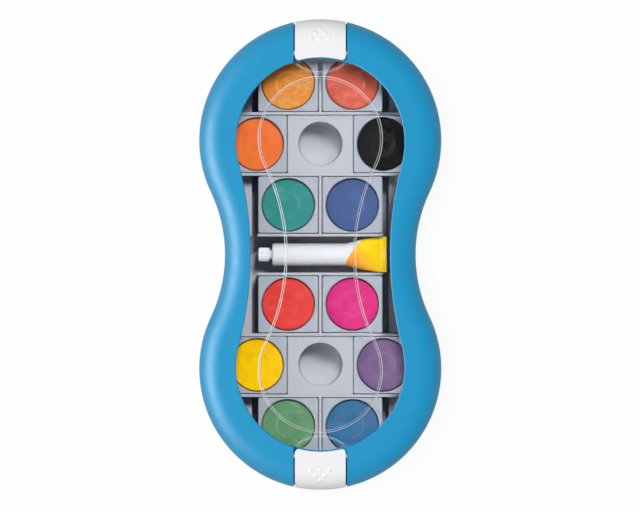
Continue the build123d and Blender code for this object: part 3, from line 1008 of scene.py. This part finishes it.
@dataclass
class Tablet:
    """One round tablet of pressed paint, with a shallow dish in the middle of its top."""

    paint: Paint
    seed: float
    radius: float = 15.0 * MM
    thickness: float = 4.6 * MM
    edge: float = 0.6 * MM
    edge_steps: int = 6
    top_steps: int = 30
    dish_radius: float = 7.6 * MM
    dish_depth: float = 1.0 * MM
    dish_flatness: float = 3.0
    dish_lip: float = 1.3
    relief: float = 0.16 * MM
    relief_scale: float = 120.0
    segments: int = 144

    def profile(self) -> list[FlatPoint]:
        """The tablet's half section.

        Returns:
            Distances from its axis and heights above its seat, from the top's middle outwards.
        """
        flat, shoulder = self.radius - self.edge, self.thickness - self.edge
        line = []
        for reach in spaced(0.0, flat, self.top_steps):
            share = min(1.0, reach / self.dish_radius)
            dip = self.dish_depth * (1 - share ** self.dish_flatness) ** self.dish_lip
            line.append((reach, self.thickness - dip))
        line += [(flat + self.edge * out, shoulder + self.edge * up)
                 for out, up in quarter_round(self.edge_steps)]
        return line + [(self.radius, self.edge / 2), (self.radius - self.edge / 2, 0.0), (0.0, 0.0)]

    def make(self, relief: PressedRelief) -> bpy.types.Object:
        """Builds the tablet where its CAD node is.

        Args:
            relief: The rule that leaves its top a little uneven.

        Returns:
            The finished piece.
        """
        node = f"paint_{self.paint.word}"
        tone = self.paint.value
        low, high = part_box(node)
        centre = ((low.x + high.x) / 2, (low.y + high.y) / 2, low.z)
        rings = [[(centre[0] + reach * cosine, centre[1] + reach * sine, low.z + height)
                  for cosine, sine in around(self.segments)] for reach, height in self.profile()]
        piece = piece_from(f"tablet_{self.paint.word}", skin(rings, closed=False))
        finish = PressedPaint(f"gouache_{self.paint.word}", tone.face, centre, self.radius,
                              self.seed, tone.roughness, tone.patch, self.dish_radius)
        relief.run(piece, {"Centre": centre, "Radius": self.radius, "Relief Height": self.relief,
                           "Waves Per Metre": self.relief_scale, "Seed": self.seed,
                           "Material": finish.material()})
        settle(piece, f"pan_{self.paint.word}", f"paint_{self.paint.word}", node)
        return piece


@dataclass
class PanSet:
    """The twelve lift-out pans with their tablets of paint."""

    finish: MouldedPlastic
    first_seed: float = 20.0
    seed_step: float = 3.7

    def make(self) -> None:
        """Dresses the pans and builds their tablets."""
        relief = PressedRelief("pressed_relief")
        for number, paint in enumerate(Paint):
            dress_node(f"pan_{paint.word}", self.finish)
            Tablet(paint, self.first_seed + self.seed_step * number).make(relief)


@dataclass
class ScrewCap:
    """The tube's white screw cap, with finger ribs round its side. Its start is the closed end."""

    axis_height: float
    bore: float
    start: float = -35.7 * MM
    end: float = -29.2 * MM
    radius: float = 4.0 * MM
    top_thickness: float = 1.2 * MM
    top_rounding: float = 0.6 * MM
    rim_chamfer: float = 0.15 * MM
    side_steps: int = 24
    rounding_steps: int = 6
    dimple_depth: float = 0.12 * MM
    dimple_top: float = 0.5
    dimple_foot: float = 0.44
    rib_count: float = 24.0
    rib_depth: float = 0.4 * MM
    rib_foot: float = 3.6 * MM
    rib_margin: float = 0.5 * MM
    segments: int = 288
    sharp_angle: float = 40.0

    def profile(self) -> list[FlatPoint]:
        """The cap's half section.

        Returns:
            Places along the axis and distances from it, from the bottom of the bore outwards.
        """
        outer, start, end = self.radius, self.start, self.end
        inside, rim = start + self.top_thickness, end - self.rim_chamfer
        bend = start + self.top_rounding
        line = [(inside, 0.0), (inside, self.bore), (end, self.bore),
                (end, outer - self.rim_chamfer), (rim, outer)]
        line += [(x, outer) for x in spaced(rim, bend, self.side_steps)[1:]]
        line += [(bend - self.top_rounding * out, outer - self.top_rounding * (1 - up))
                 for out, up in quarter_round(self.rounding_steps)]
        floor = start + self.dimple_depth
        return line + [(start, outer * self.dimple_top), (floor, outer * self.dimple_foot), (floor, 0.0)]

    def make(self, ribbed: RibbedBand) -> bpy.types.Object:
        """Builds the cap.

        Args:
            ribbed: The rule that presses its ribs.

        Returns:
            The finished piece.
        """
        rings = [[(x, reach * cosine, self.axis_height + reach * sine)
                  for cosine, sine in around(self.segments)] for x, reach in self.profile()]
        piece = piece_from("tube_cap_ribbed", skin(rings, closed=False), self.sharp_angle)
        finish = MouldedPlastic("cap_white_plastic", Srgb(238, 239, 242), roughness=0.38,
                                mottle=0.012, seed=31.0)
        ribs = Ribs(self.start + self.rib_margin, self.end - self.rib_margin, self.rib_depth,
                    around=self.rib_count, least_radius=self.rib_foot)
        ribbed.press(piece, ribs, self.axis_height, finish)
        settle(piece, "tube_cap", "cap_white", "tube_cap")
        return piece


@dataclass
class TubeOfWhite:
    """The soft metal tube of white, its tail pressed flat and crimped, with its cap.

    A square of 2 makes a section an ellipse, and a larger one a squarer form.
    """

    axis_height: float = 11.4 * MM
    radius: float = 6.5 * MM
    neck_start: float = -34.0 * MM
    neck_radius: float = 2.8 * MM
    neck_chamfer: float = 0.3 * MM
    neck_foot: float = 0.1 * MM
    neck_steps: int = 40
    nozzle_radius: float = 1.5 * MM
    nozzle_chamfer: float = 0.1 * MM
    bore_past_shoulder: float = 1.0 * MM
    shoulder: float = -28.0 * MM
    shoulder_slope: float = 0.25 * MM
    shoulder_rounding: float = 1.1 * MM
    shoulder_margin: float = 0.4 * MM
    shoulder_steps: int = 5
    flare: float = 14.0 * MM
    round_steps: int = 30
    press_steps: int = 40
    press_ease: float = 1.12
    press_square: float = 3.0
    press_square_ease: float = 6.0
    fold: float = 34.4 * MM
    end: float = 38.4 * MM
    fold_half_width: float = 10.2 * MM
    fold_half_thickness: float = 0.6 * MM
    fold_square: float = 6.0
    fold_rounding: float = 0.3 * MM
    fold_steps: int = 60
    fold_end_steps: int = 4
    least_half_thickness: float = 0.02 * MM
    groove_start: float = 0.15 * MM
    groove_end: float = 0.35 * MM
    groove_foot: float = 0.5 * MM
    groove_share: float = 0.72
    thread_per_metre: float = 800.0
    thread_depth: float = 0.35 * MM
    thread_foot: float = 2.0 * MM
    thread_after_neck_start: float = 0.6 * MM
    thread_before_shoulder: float = 0.4 * MM
    crimp_per_metre: float = 1500.0
    crimp_depth: float = 0.2 * MM
    crimp_ease: float = 0.3 * MM
    crimp_after_fold: float = 0.7 * MM
    crimp_before_end: float = 0.5 * MM
    cap_clearance: float = 0.08 * MM
    band_start: float = 16.7 * MM
    band_slant: float = 0.65
    segments: int = 128
    sharp_angle: float = 50.0
    girth_tries: int = 40

    def half_width(self, half_thickness: float) -> float:
        """The half width of a pressed section that keeps the round tube's girth.

        Args:
            half_thickness: Half the section's thickness.

        Returns:
            Half its width.
        """
        low, high = self.radius, 2 * self.fold_half_width
        for _ in range(self.girth_tries):
            wide = (low + high) / 2
            girth = math.pi * (3 * (wide + half_thickness)
                               - math.sqrt((3 * wide + half_thickness) * (wide + 3 * half_thickness)))
            if girth < TURN * self.radius:
                low = wide
            else:
                high = wide
        return min(low, self.fold_half_width)

    def section(self, x: float, wide: float, thick: float, square: float = 2.0) -> Ring:
        """One section across the tube.

        Args:
            x: Its place along the tube.
            wide: Half its width.
            thick: Half its thickness.
            square: 2 for an ellipse, and more for a squarer form.

        Returns:
            The section's points.
        """
        power = 2 / square
        return [(x, wide * math.copysign(abs(across) ** power, across),
                 self.axis_height + thick * math.copysign(abs(up) ** power, up))
                for across, up in around(self.segments)]

    def turned_profile(self) -> list[FlatPoint]:
        """The half section of what is round: the bore, the neck, the shoulder and the barrel.

        Returns:
            Places along the tube and distances from its axis.
        """
        bore_end = self.shoulder - self.bore_past_shoulder
        neck, lip = self.neck_radius, self.neck_start + self.neck_chamfer
        line = [(bore_end, 0.0), (bore_end, self.nozzle_radius),
                (self.neck_start + self.nozzle_chamfer, self.nozzle_radius),
                (self.neck_start, self.nozzle_radius + self.nozzle_chamfer),
                (self.neck_start, neck - self.neck_chamfer), (lip, neck)]
        line += [(x, neck) for x in spaced(lip, self.shoulder - self.neck_foot, self.neck_steps)[1:]]
        bend, flat = self.shoulder_rounding, self.radius - self.shoulder_rounding
        line += [(self.shoulder, neck + self.shoulder_margin),
                 (self.shoulder + self.shoulder_slope, flat - self.shoulder_margin)]
        line += [(self.shoulder + bend - (bend - self.shoulder_slope) * back, flat + bend * out)
                 for out, back in quarter_round(self.shoulder_steps)]
        barrel = spaced(self.shoulder + bend, self.flare, self.round_steps)[1:]
        return line + [(x, self.radius) for x in barrel]

    def pressed_rings(self) -> list[Ring]:
        """The sections where the barrel is pressed flatter and flatter towards the fold.

        Returns:
            The rings in order.
        """
        rings = []
        for share in spaced(0.0, 1.0, self.press_steps)[1:]:
            flatter = share ** self.press_ease
            thick = self.radius + (self.fold_half_thickness - self.radius) * flatter
            square = 2 + self.press_square * share ** self.press_square_ease
            x = self.flare + (self.fold - self.flare) * share
            rings.append(self.section(x, self.half_width(thick), thick, square))
        return rings

    def fold_rings(self) -> list[Ring]:
        """The sections of the folded tail, with a groove before it and a rounded end.

        Returns:
            The rings in order.
        """
        wide, thick, bend = self.fold_half_width, self.fold_half_thickness, self.fold_rounding
        groove = thick * self.groove_share
        start, end = self.fold + self.groove_foot, self.end - bend
        sections = [(self.fold + self.groove_start, wide, groove),
                    (self.fold + self.groove_end, wide, groove)]
        sections += [(x, wide, thick) for x in spaced(start, end, self.fold_steps)]
        sections += [(end + bend * out, wide - bend * (1 - up),
                      max(thick * up, self.least_half_thickness))
                     for out, up in quarter_round(self.fold_end_steps)]
        return [self.section(*size, self.fold_square) for size in sections]

    def make_body(self, ribbed: RibbedBand) -> bpy.types.Object:
        """Builds the tube, with a thread on its neck and a crimp across its fold.

        Args:
            ribbed: The rule that presses ribs into a stretch of it.

        Returns:
            The finished piece.
        """
        rings = [self.section(x, reach, reach) for x, reach in self.turned_profile()]
        rings += self.pressed_rings() + self.fold_rings()
        piece = piece_from("white_tube", skin(rings), self.sharp_angle)
        enamel = TubeEnamel("tube_enamel", self.band_start, self.band_slant, self.end)
        thread = Ribs(self.neck_start + self.thread_after_neck_start,
                      self.shoulder - self.thread_before_shoulder, self.thread_depth,
                      around=1.0, per_metre=self.thread_per_metre, least_radius=self.thread_foot)
        crimp = Ribs(self.fold + self.crimp_after_fold, self.end - self.crimp_before_end,
                     self.crimp_depth, per_metre=self.crimp_per_metre, ease=self.crimp_ease,
                     direction=(0.0, 0.0, 1.0))
        for ribs in (thread, crimp):
            ribbed.press(piece, ribs, self.axis_height, enamel)
        settle(piece, "tube", "tube_metal", "tube_body")
        return piece

    def make(self) -> None:
        """Builds the tube and its cap, and dresses the paint inside."""
        ribbed = RibbedBand("ribbed_band")
        self.make_body(ribbed)
        ScrewCap(self.axis_height, self.neck_radius + self.cap_clearance).make(ribbed)
        middle = (0.0, 0.0, self.axis_height)
        dress_node("tube_paint", PressedPaint("moist_white", Srgb(240, 240, 236), middle,
                                              radius=4 * self.radius, seed=5.0))


@dataclass
class LidWindow:
    """The clear window: a plate under the ring, a raised figure-eight panel and two end arcs.

    A face is level if the Z of its normal is over level_normal. Heights are told apart to
    height_slack.
    """

    opening: FigureEight
    panel: FigureEight
    low: float = 32.2 * MM
    high: float = 34.0 * MM
    rise: float = 1.0 * MM
    rounding: float = 0.6 * MM
    rounding_steps: int = 5
    recess: float = 1.0 * MM
    recess_inset: float = 1.2 * MM
    recess_slope: float = 0.35 * MM
    flange: float = 2.2 * MM
    housing_half: float = 17.8 * MM
    clip_half: float = 15.2 * MM
    edge_fit: float = 0.1 * MM
    end_gap: float = 1.2 * MM
    beside_clip_steps: int = 4
    under_clip_steps: int = 48
    arc_radius: float = 21.4 * MM
    arc_reach: float = 8.8 * MM
    arc_width: float = 1.0 * MM
    arc_height: float = 0.4 * MM
    arc_slope: float = 0.2
    arc_shoulder: float = 0.6
    arc_sunk: float = 0.3 * MM
    arc_half_angle: float = math.radians(47.0)
    arc_steps: int = 72
    sharp_angle: float = 28.0
    level_normal: float = 0.985
    height_slack: float = 0.05 * MM

    def outline(self) -> list[FlatPoint]:
        """The plate's outline, stepped inwards beside and between the clips' walls.

        Returns:
            The points in order.
        """
        side = [p for p in self.opening.points(-self.flange) if p[0] > self.housing_half]
        corner = self.end_arc(-self.flange, self.housing_half, self.housing_half, 1)[:1]
        right = corner + self.end_arc(self.edge_fit, self.housing_half, self.clip_half,
                                      self.beside_clip_steps)
        middle = self.end_arc(self.end_gap, self.clip_half, -self.clip_half, self.under_clip_steps)
        left = [(-x, y) for x, y in reversed(right)]
        half = sorted(side, key=lambda p: p[1]) + right + middle + left
        return half + [(-x, -y) for x, y in half]

    def end_arc(self, inset: float, start: float, end: float, count: int) -> list[FlatPoint]:
        """Points along the opening's +Y end, moved inwards.

        Args:
            inset: How far inwards they lie.
            start: The first point's place across the box.
            end: The last point's place across the box.
            count: How many steps lie between them.

        Returns:
            The points in order.
        """
        radius = self.opening.radius - inset
        return [(x, self.opening.centre + math.sqrt(radius ** 2 - x ** 2))
                for x in spaced(start, end, count)]

    def make(self, finish: ClearPlastic) -> bpy.types.Object:
        """Builds the window.

        Args:
            finish: Its clear plastic.

        Returns:
            The finished piece.
        """
        surface = bmesh.new()
        outline, top_of_panel = self.outline(), self.high + self.rise
        top, bottom = (self.loop(surface, outline, height) for height in (self.high, self.low))
        join_loops(surface, bottom, top)
        steps = [(0.0, self.high), (0.0, top_of_panel - self.rounding)]
        steps += [(self.rounding * (1 - inner), top_of_panel - self.rounding * (1 - up))
                  for up, inner in quarter_round(self.rounding_steps)]
        loops = [self.loop(surface, self.panel.points(inset), height) for inset, height in steps]
        for lower, upper in zip(loops, loops[1:]):
            join_loops(surface, lower, upper)
        mouth = self.loop(surface, self.panel.points(self.recess_inset), self.low)
        roof = self.loop(surface, self.panel.points(self.recess_inset + self.recess_slope),
                         self.low + self.recess)
        join_loops(surface, mouth, roof)
        for rims in ([top, loops[0]], [loops[-1]], [bottom, mouth], [roof]):
            self.fill(surface, rims)
        bmesh.ops.recalc_face_normals(surface, faces=surface.faces)
        piece = piece_from("clear_window", surface, self.sharp_angle)
        for end in BoxEnd:
            self.add_arc(piece, end)
        self.mark(piece)
        finish.dress(piece)
        settle(piece, "lid", "window_clear", "lid_window")
        return piece

    def arc_rings(self, end: BoxEnd) -> list[Ring]:
        """The sections of one raised end arc, as far as the window reaches.

        Args:
            end: The box's end that it lies at.

        Returns:
            The rings in order.
        """
        wide, tall, sunk = self.arc_width, self.arc_height, -self.arc_sunk
        slope, shoulder = wide * self.arc_slope, tall * self.arc_shoulder
        section = [(0.0, sunk), (0.0, shoulder), (slope, tall), (wide - slope, tall),
                   (wide, shoulder), (wide, sunk)]
        centre = self.opening.centre + self.opening.radius - self.arc_reach + self.arc_radius
        limit = self.opening.radius - self.end_gap
        rings = []
        for turn in spaced(-self.arc_half_angle, self.arc_half_angle, self.arc_steps):
            angle = turn - math.pi / 2
            ring = [((self.arc_radius - across) * math.cos(angle),
                     end.value * (centre + (self.arc_radius - across) * math.sin(angle)),
                     self.high + up) for across, up in section]
            if all(math.hypot(x, abs(y) - self.opening.centre) < limit for x, y, _ in ring):
                rings.append(ring)
        return rings

    def add_arc(self, piece: bpy.types.Object, end: BoxEnd) -> None:
        """Joins one raised end arc to the window.

        Args:
            piece: The window.
            end: The box's end that the arc lies at.
        """
        arc = piece_from("window_arc", skin(self.arc_rings(end)))
        union = piece.modifiers.new("arc", "BOOLEAN")
        union.operation, union.solver, union.object = "UNION", "EXACT", arc
        keep_result(piece)
        spare = arc.data
        bpy.data.objects.remove(arc)
        bpy.data.meshes.remove(spare)

    def mark(self, piece: bpy.types.Object) -> None:
        """Writes which faces are edges that catch the light, and which lie inside the panel.

        Args:
            piece: The window.
        """
        mesh = piece.data
        roof = self.low + self.recess
        edge = mesh.attributes.new("edge", "FLOAT", "FACE")
        inner = mesh.attributes.new("panel", "FLOAT", "FACE")
        for face in mesh.polygons:
            level = abs(face.normal.z) > self.level_normal
            height = face.center.z
            outer = roof + self.height_slack < height < self.high - self.height_slack
            on_panel = level and height > self.high + self.rise - self.height_slack
            edge.data[face.index].value = 0.0 if level or outer else 1.0
            inner.data[face.index].value = 1.0 if on_panel else 0.0
        smooth(mesh, self.sharp_angle)

    @staticmethod
    def loop(surface: bmesh.types.BMesh, points: Iterable[FlatPoint], height: float) -> Corners:
        """Adds a flat loop of points.

        Args:
            surface: The surface to add to.
            points: The loop seen from above.
            height: Its height.

        Returns:
            The loop's corners.
        """
        corners = [surface.verts.new((x, y, height)) for x, y in points]
        for first, second in zip(corners, corners[1:] + corners[:1]):
            surface.edges.new((first, second))
        return corners

    @staticmethod
    def fill(surface: bmesh.types.BMesh, loops: list[Corners]) -> None:
        """Fills the flat face inside a loop, and outside a second one if there is one.

        Args:
            surface: The surface to add to.
            loops: One or two loops.
        """
        edges = [surface.edges.get(pair) for loop in loops
                 for pair in zip(loop, loop[1:] + loop[:1])]
        bmesh.ops.triangle_fill(surface, use_beauty=True, use_dissolve=False, edges=edges)


@dataclass
class Lid:
    """The lift-off lid: the blue ring, the clear window and the two swinging clips."""

    ring_finish: MouldedPlastic
    clip_finish: MouldedPlastic
    window: LidWindow

    def make(self) -> None:
        """Dresses the ring and the clips, and builds the window."""
        dress_node("lid_frame", self.ring_finish)
        self.window.make(ClearPlastic("clear_plastic"))
        for end in BoxEnd:
            dress_node(end.clip, self.clip_finish)


@dataclass
class Case:
    """The lower half of the case and the grey moulded tray in it."""

    shell_finish: MouldedPlastic
    tray_finish: MouldedPlastic

    def make(self) -> None:
        """Dresses the base and the tray."""
        dress_node("base_shell", self.shell_finish)
        dress_node("paint_tray", self.tray_finish)


class Reach(Enum):
    """What a lamp shows on: surfaces as light that falls on them, or gloss as a sheen."""

    SURFACES = "surfaces"
    GLOSS = "gloss"


class Side(Enum):
    """Which pieces a lamp lights."""

    ALL = "all"
    OUTSIDE = "outside"
    TRAY = "tray"
    CONTENTS = "contents"

    def pieces(self) -> list[bpy.types.Object]:
        """The pieces that a lamp of this kind lights.

        Returns:
            The lid's ring, the clips, the base and the floor, or the tray, or everything else.
        """
        outside = ("base_shell", "lid_frame", "clip_north", "clip_south", "studio_floor")
        sides = {**dict.fromkeys(outside, Side.OUTSIDE), "paint_tray": Side.TRAY}
        return [piece for piece in bpy.context.scene.objects
                if piece.type == "MESH" and sides.get(piece.name, Side.CONTENTS) is self]


@dataclass
class Lamp:
    """One soft rectangular studio lamp, aimed at a point near the box. Its power is in watts."""

    name: str
    place: Point
    width: float
    length: float
    power: float
    side: Side = Side.ALL
    reach: Reach = Reach.SURFACES
    aim: Point = (0.0, 0.0, 0.02)

    def make(self) -> None:
        """Adds the lamp to the scene."""
        data = bpy.data.lights.new(self.name, "AREA")
        data.shape, data.size, data.size_y = "RECTANGLE", self.width, self.length
        data.energy = self.power
        lamp = bpy.data.objects.new(self.name, data)
        bpy.context.scene.collection.objects.link(lamp)
        lamp.location = self.place
        lamp.visible_diffuse = self.reach is Reach.SURFACES
        lamp.visible_glossy = self.reach is Reach.GLOSS
        lamp.visible_transmission = False
        lamp.rotation_mode = "QUATERNION"
        lamp.rotation_quaternion = (Vector(self.aim) - Vector(self.place)).to_track_quat("-Z", "Y")
        if self.side is not Side.ALL:
            receivers = bpy.data.collections.new(f"{self.name}_receivers")
            for piece in self.side.pieces():
                receivers.objects.link(piece)
            lamp.light_linking.receiver_collection = receivers
        LOG.info("lamp %s, %.1f W", self.name, self.power)


@dataclass
class Studio:
    """The floor, the lamps, the world and the camera straight above the box.

    The picture's scale holds at level. The world's fill is weaker for light under the window.
    """

    picture_width: int = 640
    metres_per_pixel: float = 0.573 * MM
    level: float = 22.0 * MM
    shift_right: float = -0.17 * MM
    shift_up: float = -0.85 * MM
    lens: float = 135.0
    sensor: float = 36.0
    nearest: float = 0.05
    farthest: float = 20.0
    floor_half: float = 2.5
    flag_half: float = 0.45
    flag_height: float = 1.75
    fill: float = 0.07
    fill_under_window: float = 0.03

    def make(self) -> None:
        """Builds everything that isn't the box."""
        self.make_world()
        self.make_floor()
        self.make_flag()
        self.make_camera()
        for lamp in (
            Lamp("contents_key", (0.14, 0.46, 1.60), 0.5, 0.5, 26.4, Side.CONTENTS),
            Lamp("tray_key", (0.60, 1.36, 1.62), 0.6, 0.6, 61.5, Side.TRAY),
            Lamp("outer_key", (-0.48, 0.08, 1.60), 0.7, 0.7, 25.2, Side.OUTSIDE),
            Lamp("low_left", (-1.3, 0.0, 0.16), 0.3, 1.0, 0.6, Side.OUTSIDE),
            Lamp("low_right", (1.3, 0.0, 0.35), 0.3, 0.8, 3.6, Side.OUTSIDE),
            Lamp("low_south", (0.0, -1.3, 0.30), 1.0, 0.3, 1.2, Side.OUTSIDE),
            Lamp("left_sheen", (-0.86, -0.16, 0.50), 0.9, 0.5, 24.0, reach=Reach.GLOSS,
                 aim=(0.0, -0.16, 0.02)),
        ):
            lamp.make()
        bpy.context.scene.view_settings.view_transform = "Standard"

    def make_world(self) -> None:
        """Adds an even pale world, which shows as white."""
        world = bpy.data.worlds.new("studio_air")
        bpy.context.scene.world = world
        world.use_nodes = True
        world.node_tree.nodes.clear()
        graph = Graph(world.node_tree)
        rays = graph.rays()
        scattered = graph.maths("GREATER_THAN", rays["Diffuse Depth"], 0.5)
        under_window = graph.maths("MULTIPLY", rays["Is Transmission Ray"], scattered)
        strength = graph.spread(under_window, 0.0, 1.0, self.fill, self.fill_under_window)
        fill, white = (graph.add("ShaderNodeBackground", {"Color": WHITE, "Strength": level})
                       for level in (strength, 1.0))
        both = graph.shader_blend(graph.seen_directly(), fill.outputs[0], white.outputs[0])
        graph.add("ShaderNodeOutputWorld", {"Surface": both})

    def make_floor(self) -> None:
        """Lays a plain pale floor under the box."""
        floor = self.sheet("studio_floor", self.floor_half, 0.0, 1)
        StudioPaper("studio_paper").dress(floor)

    def make_flag(self) -> None:
        """Hangs a dark cloth above the camera, so that level surfaces don't mirror the lights."""
        flag = self.sheet("studio_flag", self.flag_half, self.flag_height, -1)
        MouldedPlastic("flag_cloth", Srgb(40, 40, 42), roughness=0.9, specular=0.1).dress(flag)

    @staticmethod
    def sheet(name: str, half: float, height: float, facing: int) -> bpy.types.Object:
        """Makes a level square sheet.

        Args:
            name: Its name.
            half: Half its side.
            height: How high it lies.
            facing: 1 if it faces up and -1 if it faces down.

        Returns:
            The new object.
        """
        surface = bmesh.new()
        corners = ((-1, -facing), (1, -facing), (1, facing), (-1, facing))
        surface.faces.new([surface.verts.new((x * half, y * half, height)) for x, y in corners])
        return piece_from(name, surface)

    def make_camera(self) -> None:
        """Hangs the camera above the box, looking straight down."""
        data = bpy.data.cameras.new("camera")
        data.lens, data.sensor_width = self.lens, self.sensor
        data.clip_start, data.clip_end = self.nearest, self.farthest
        seen = self.picture_width * self.metres_per_pixel
        camera = bpy.data.objects.new("camera", data)
        bpy.context.scene.collection.objects.link(camera)
        camera.location = (self.shift_right, self.shift_up,
                           self.level + seen * self.lens / self.sensor)
        bpy.context.scene.camera = camera


def main() -> None:
    """Builds the box in order."""
    logging.basicConfig(level=logging.INFO, format="%(name)s: %(message)s")
    blue = MouldedPlastic("lid_blue_plastic", Srgb(26, 149, 198), roughness=0.52, specular=0.4,
                          mottle=0.02, seed=2.0)
    white = MouldedPlastic("clip_white_plastic", Srgb(246, 246, 248), roughness=0.36,
                           mottle=0.01, seed=12.0)
    deck = MouldedPlastic("tray_grey_plastic", Srgb(176, 179, 187), roughness=0.5, specular=0.25,
                          mottle=0.02, grain_scale=1800.0, grain_depth=9e-6, seed=15.0,
                          passed_on=0.25)
    pans = MouldedPlastic("pan_grey_plastic", Srgb(168, 172, 182), roughness=0.5, specular=0.4,
                          mottle=0.02, grain_scale=1800.0, grain_depth=9e-6, seed=18.0)
    Case(blue, deck).make()
    PanSet(pans).make()
    TubeOfWhite().make()
    opening = FigureEight(radius=47.82 * MM, centre=63.9 * MM, waist=39.55 * MM)
    panel = FigureEight(radius=35.52 * MM, centre=65.9 * MM, waist=20.2 * MM)
    Lid(blue, white, LidWindow(opening, panel)).make()
    Studio().make()


if __name__ == "__main__":
    main()
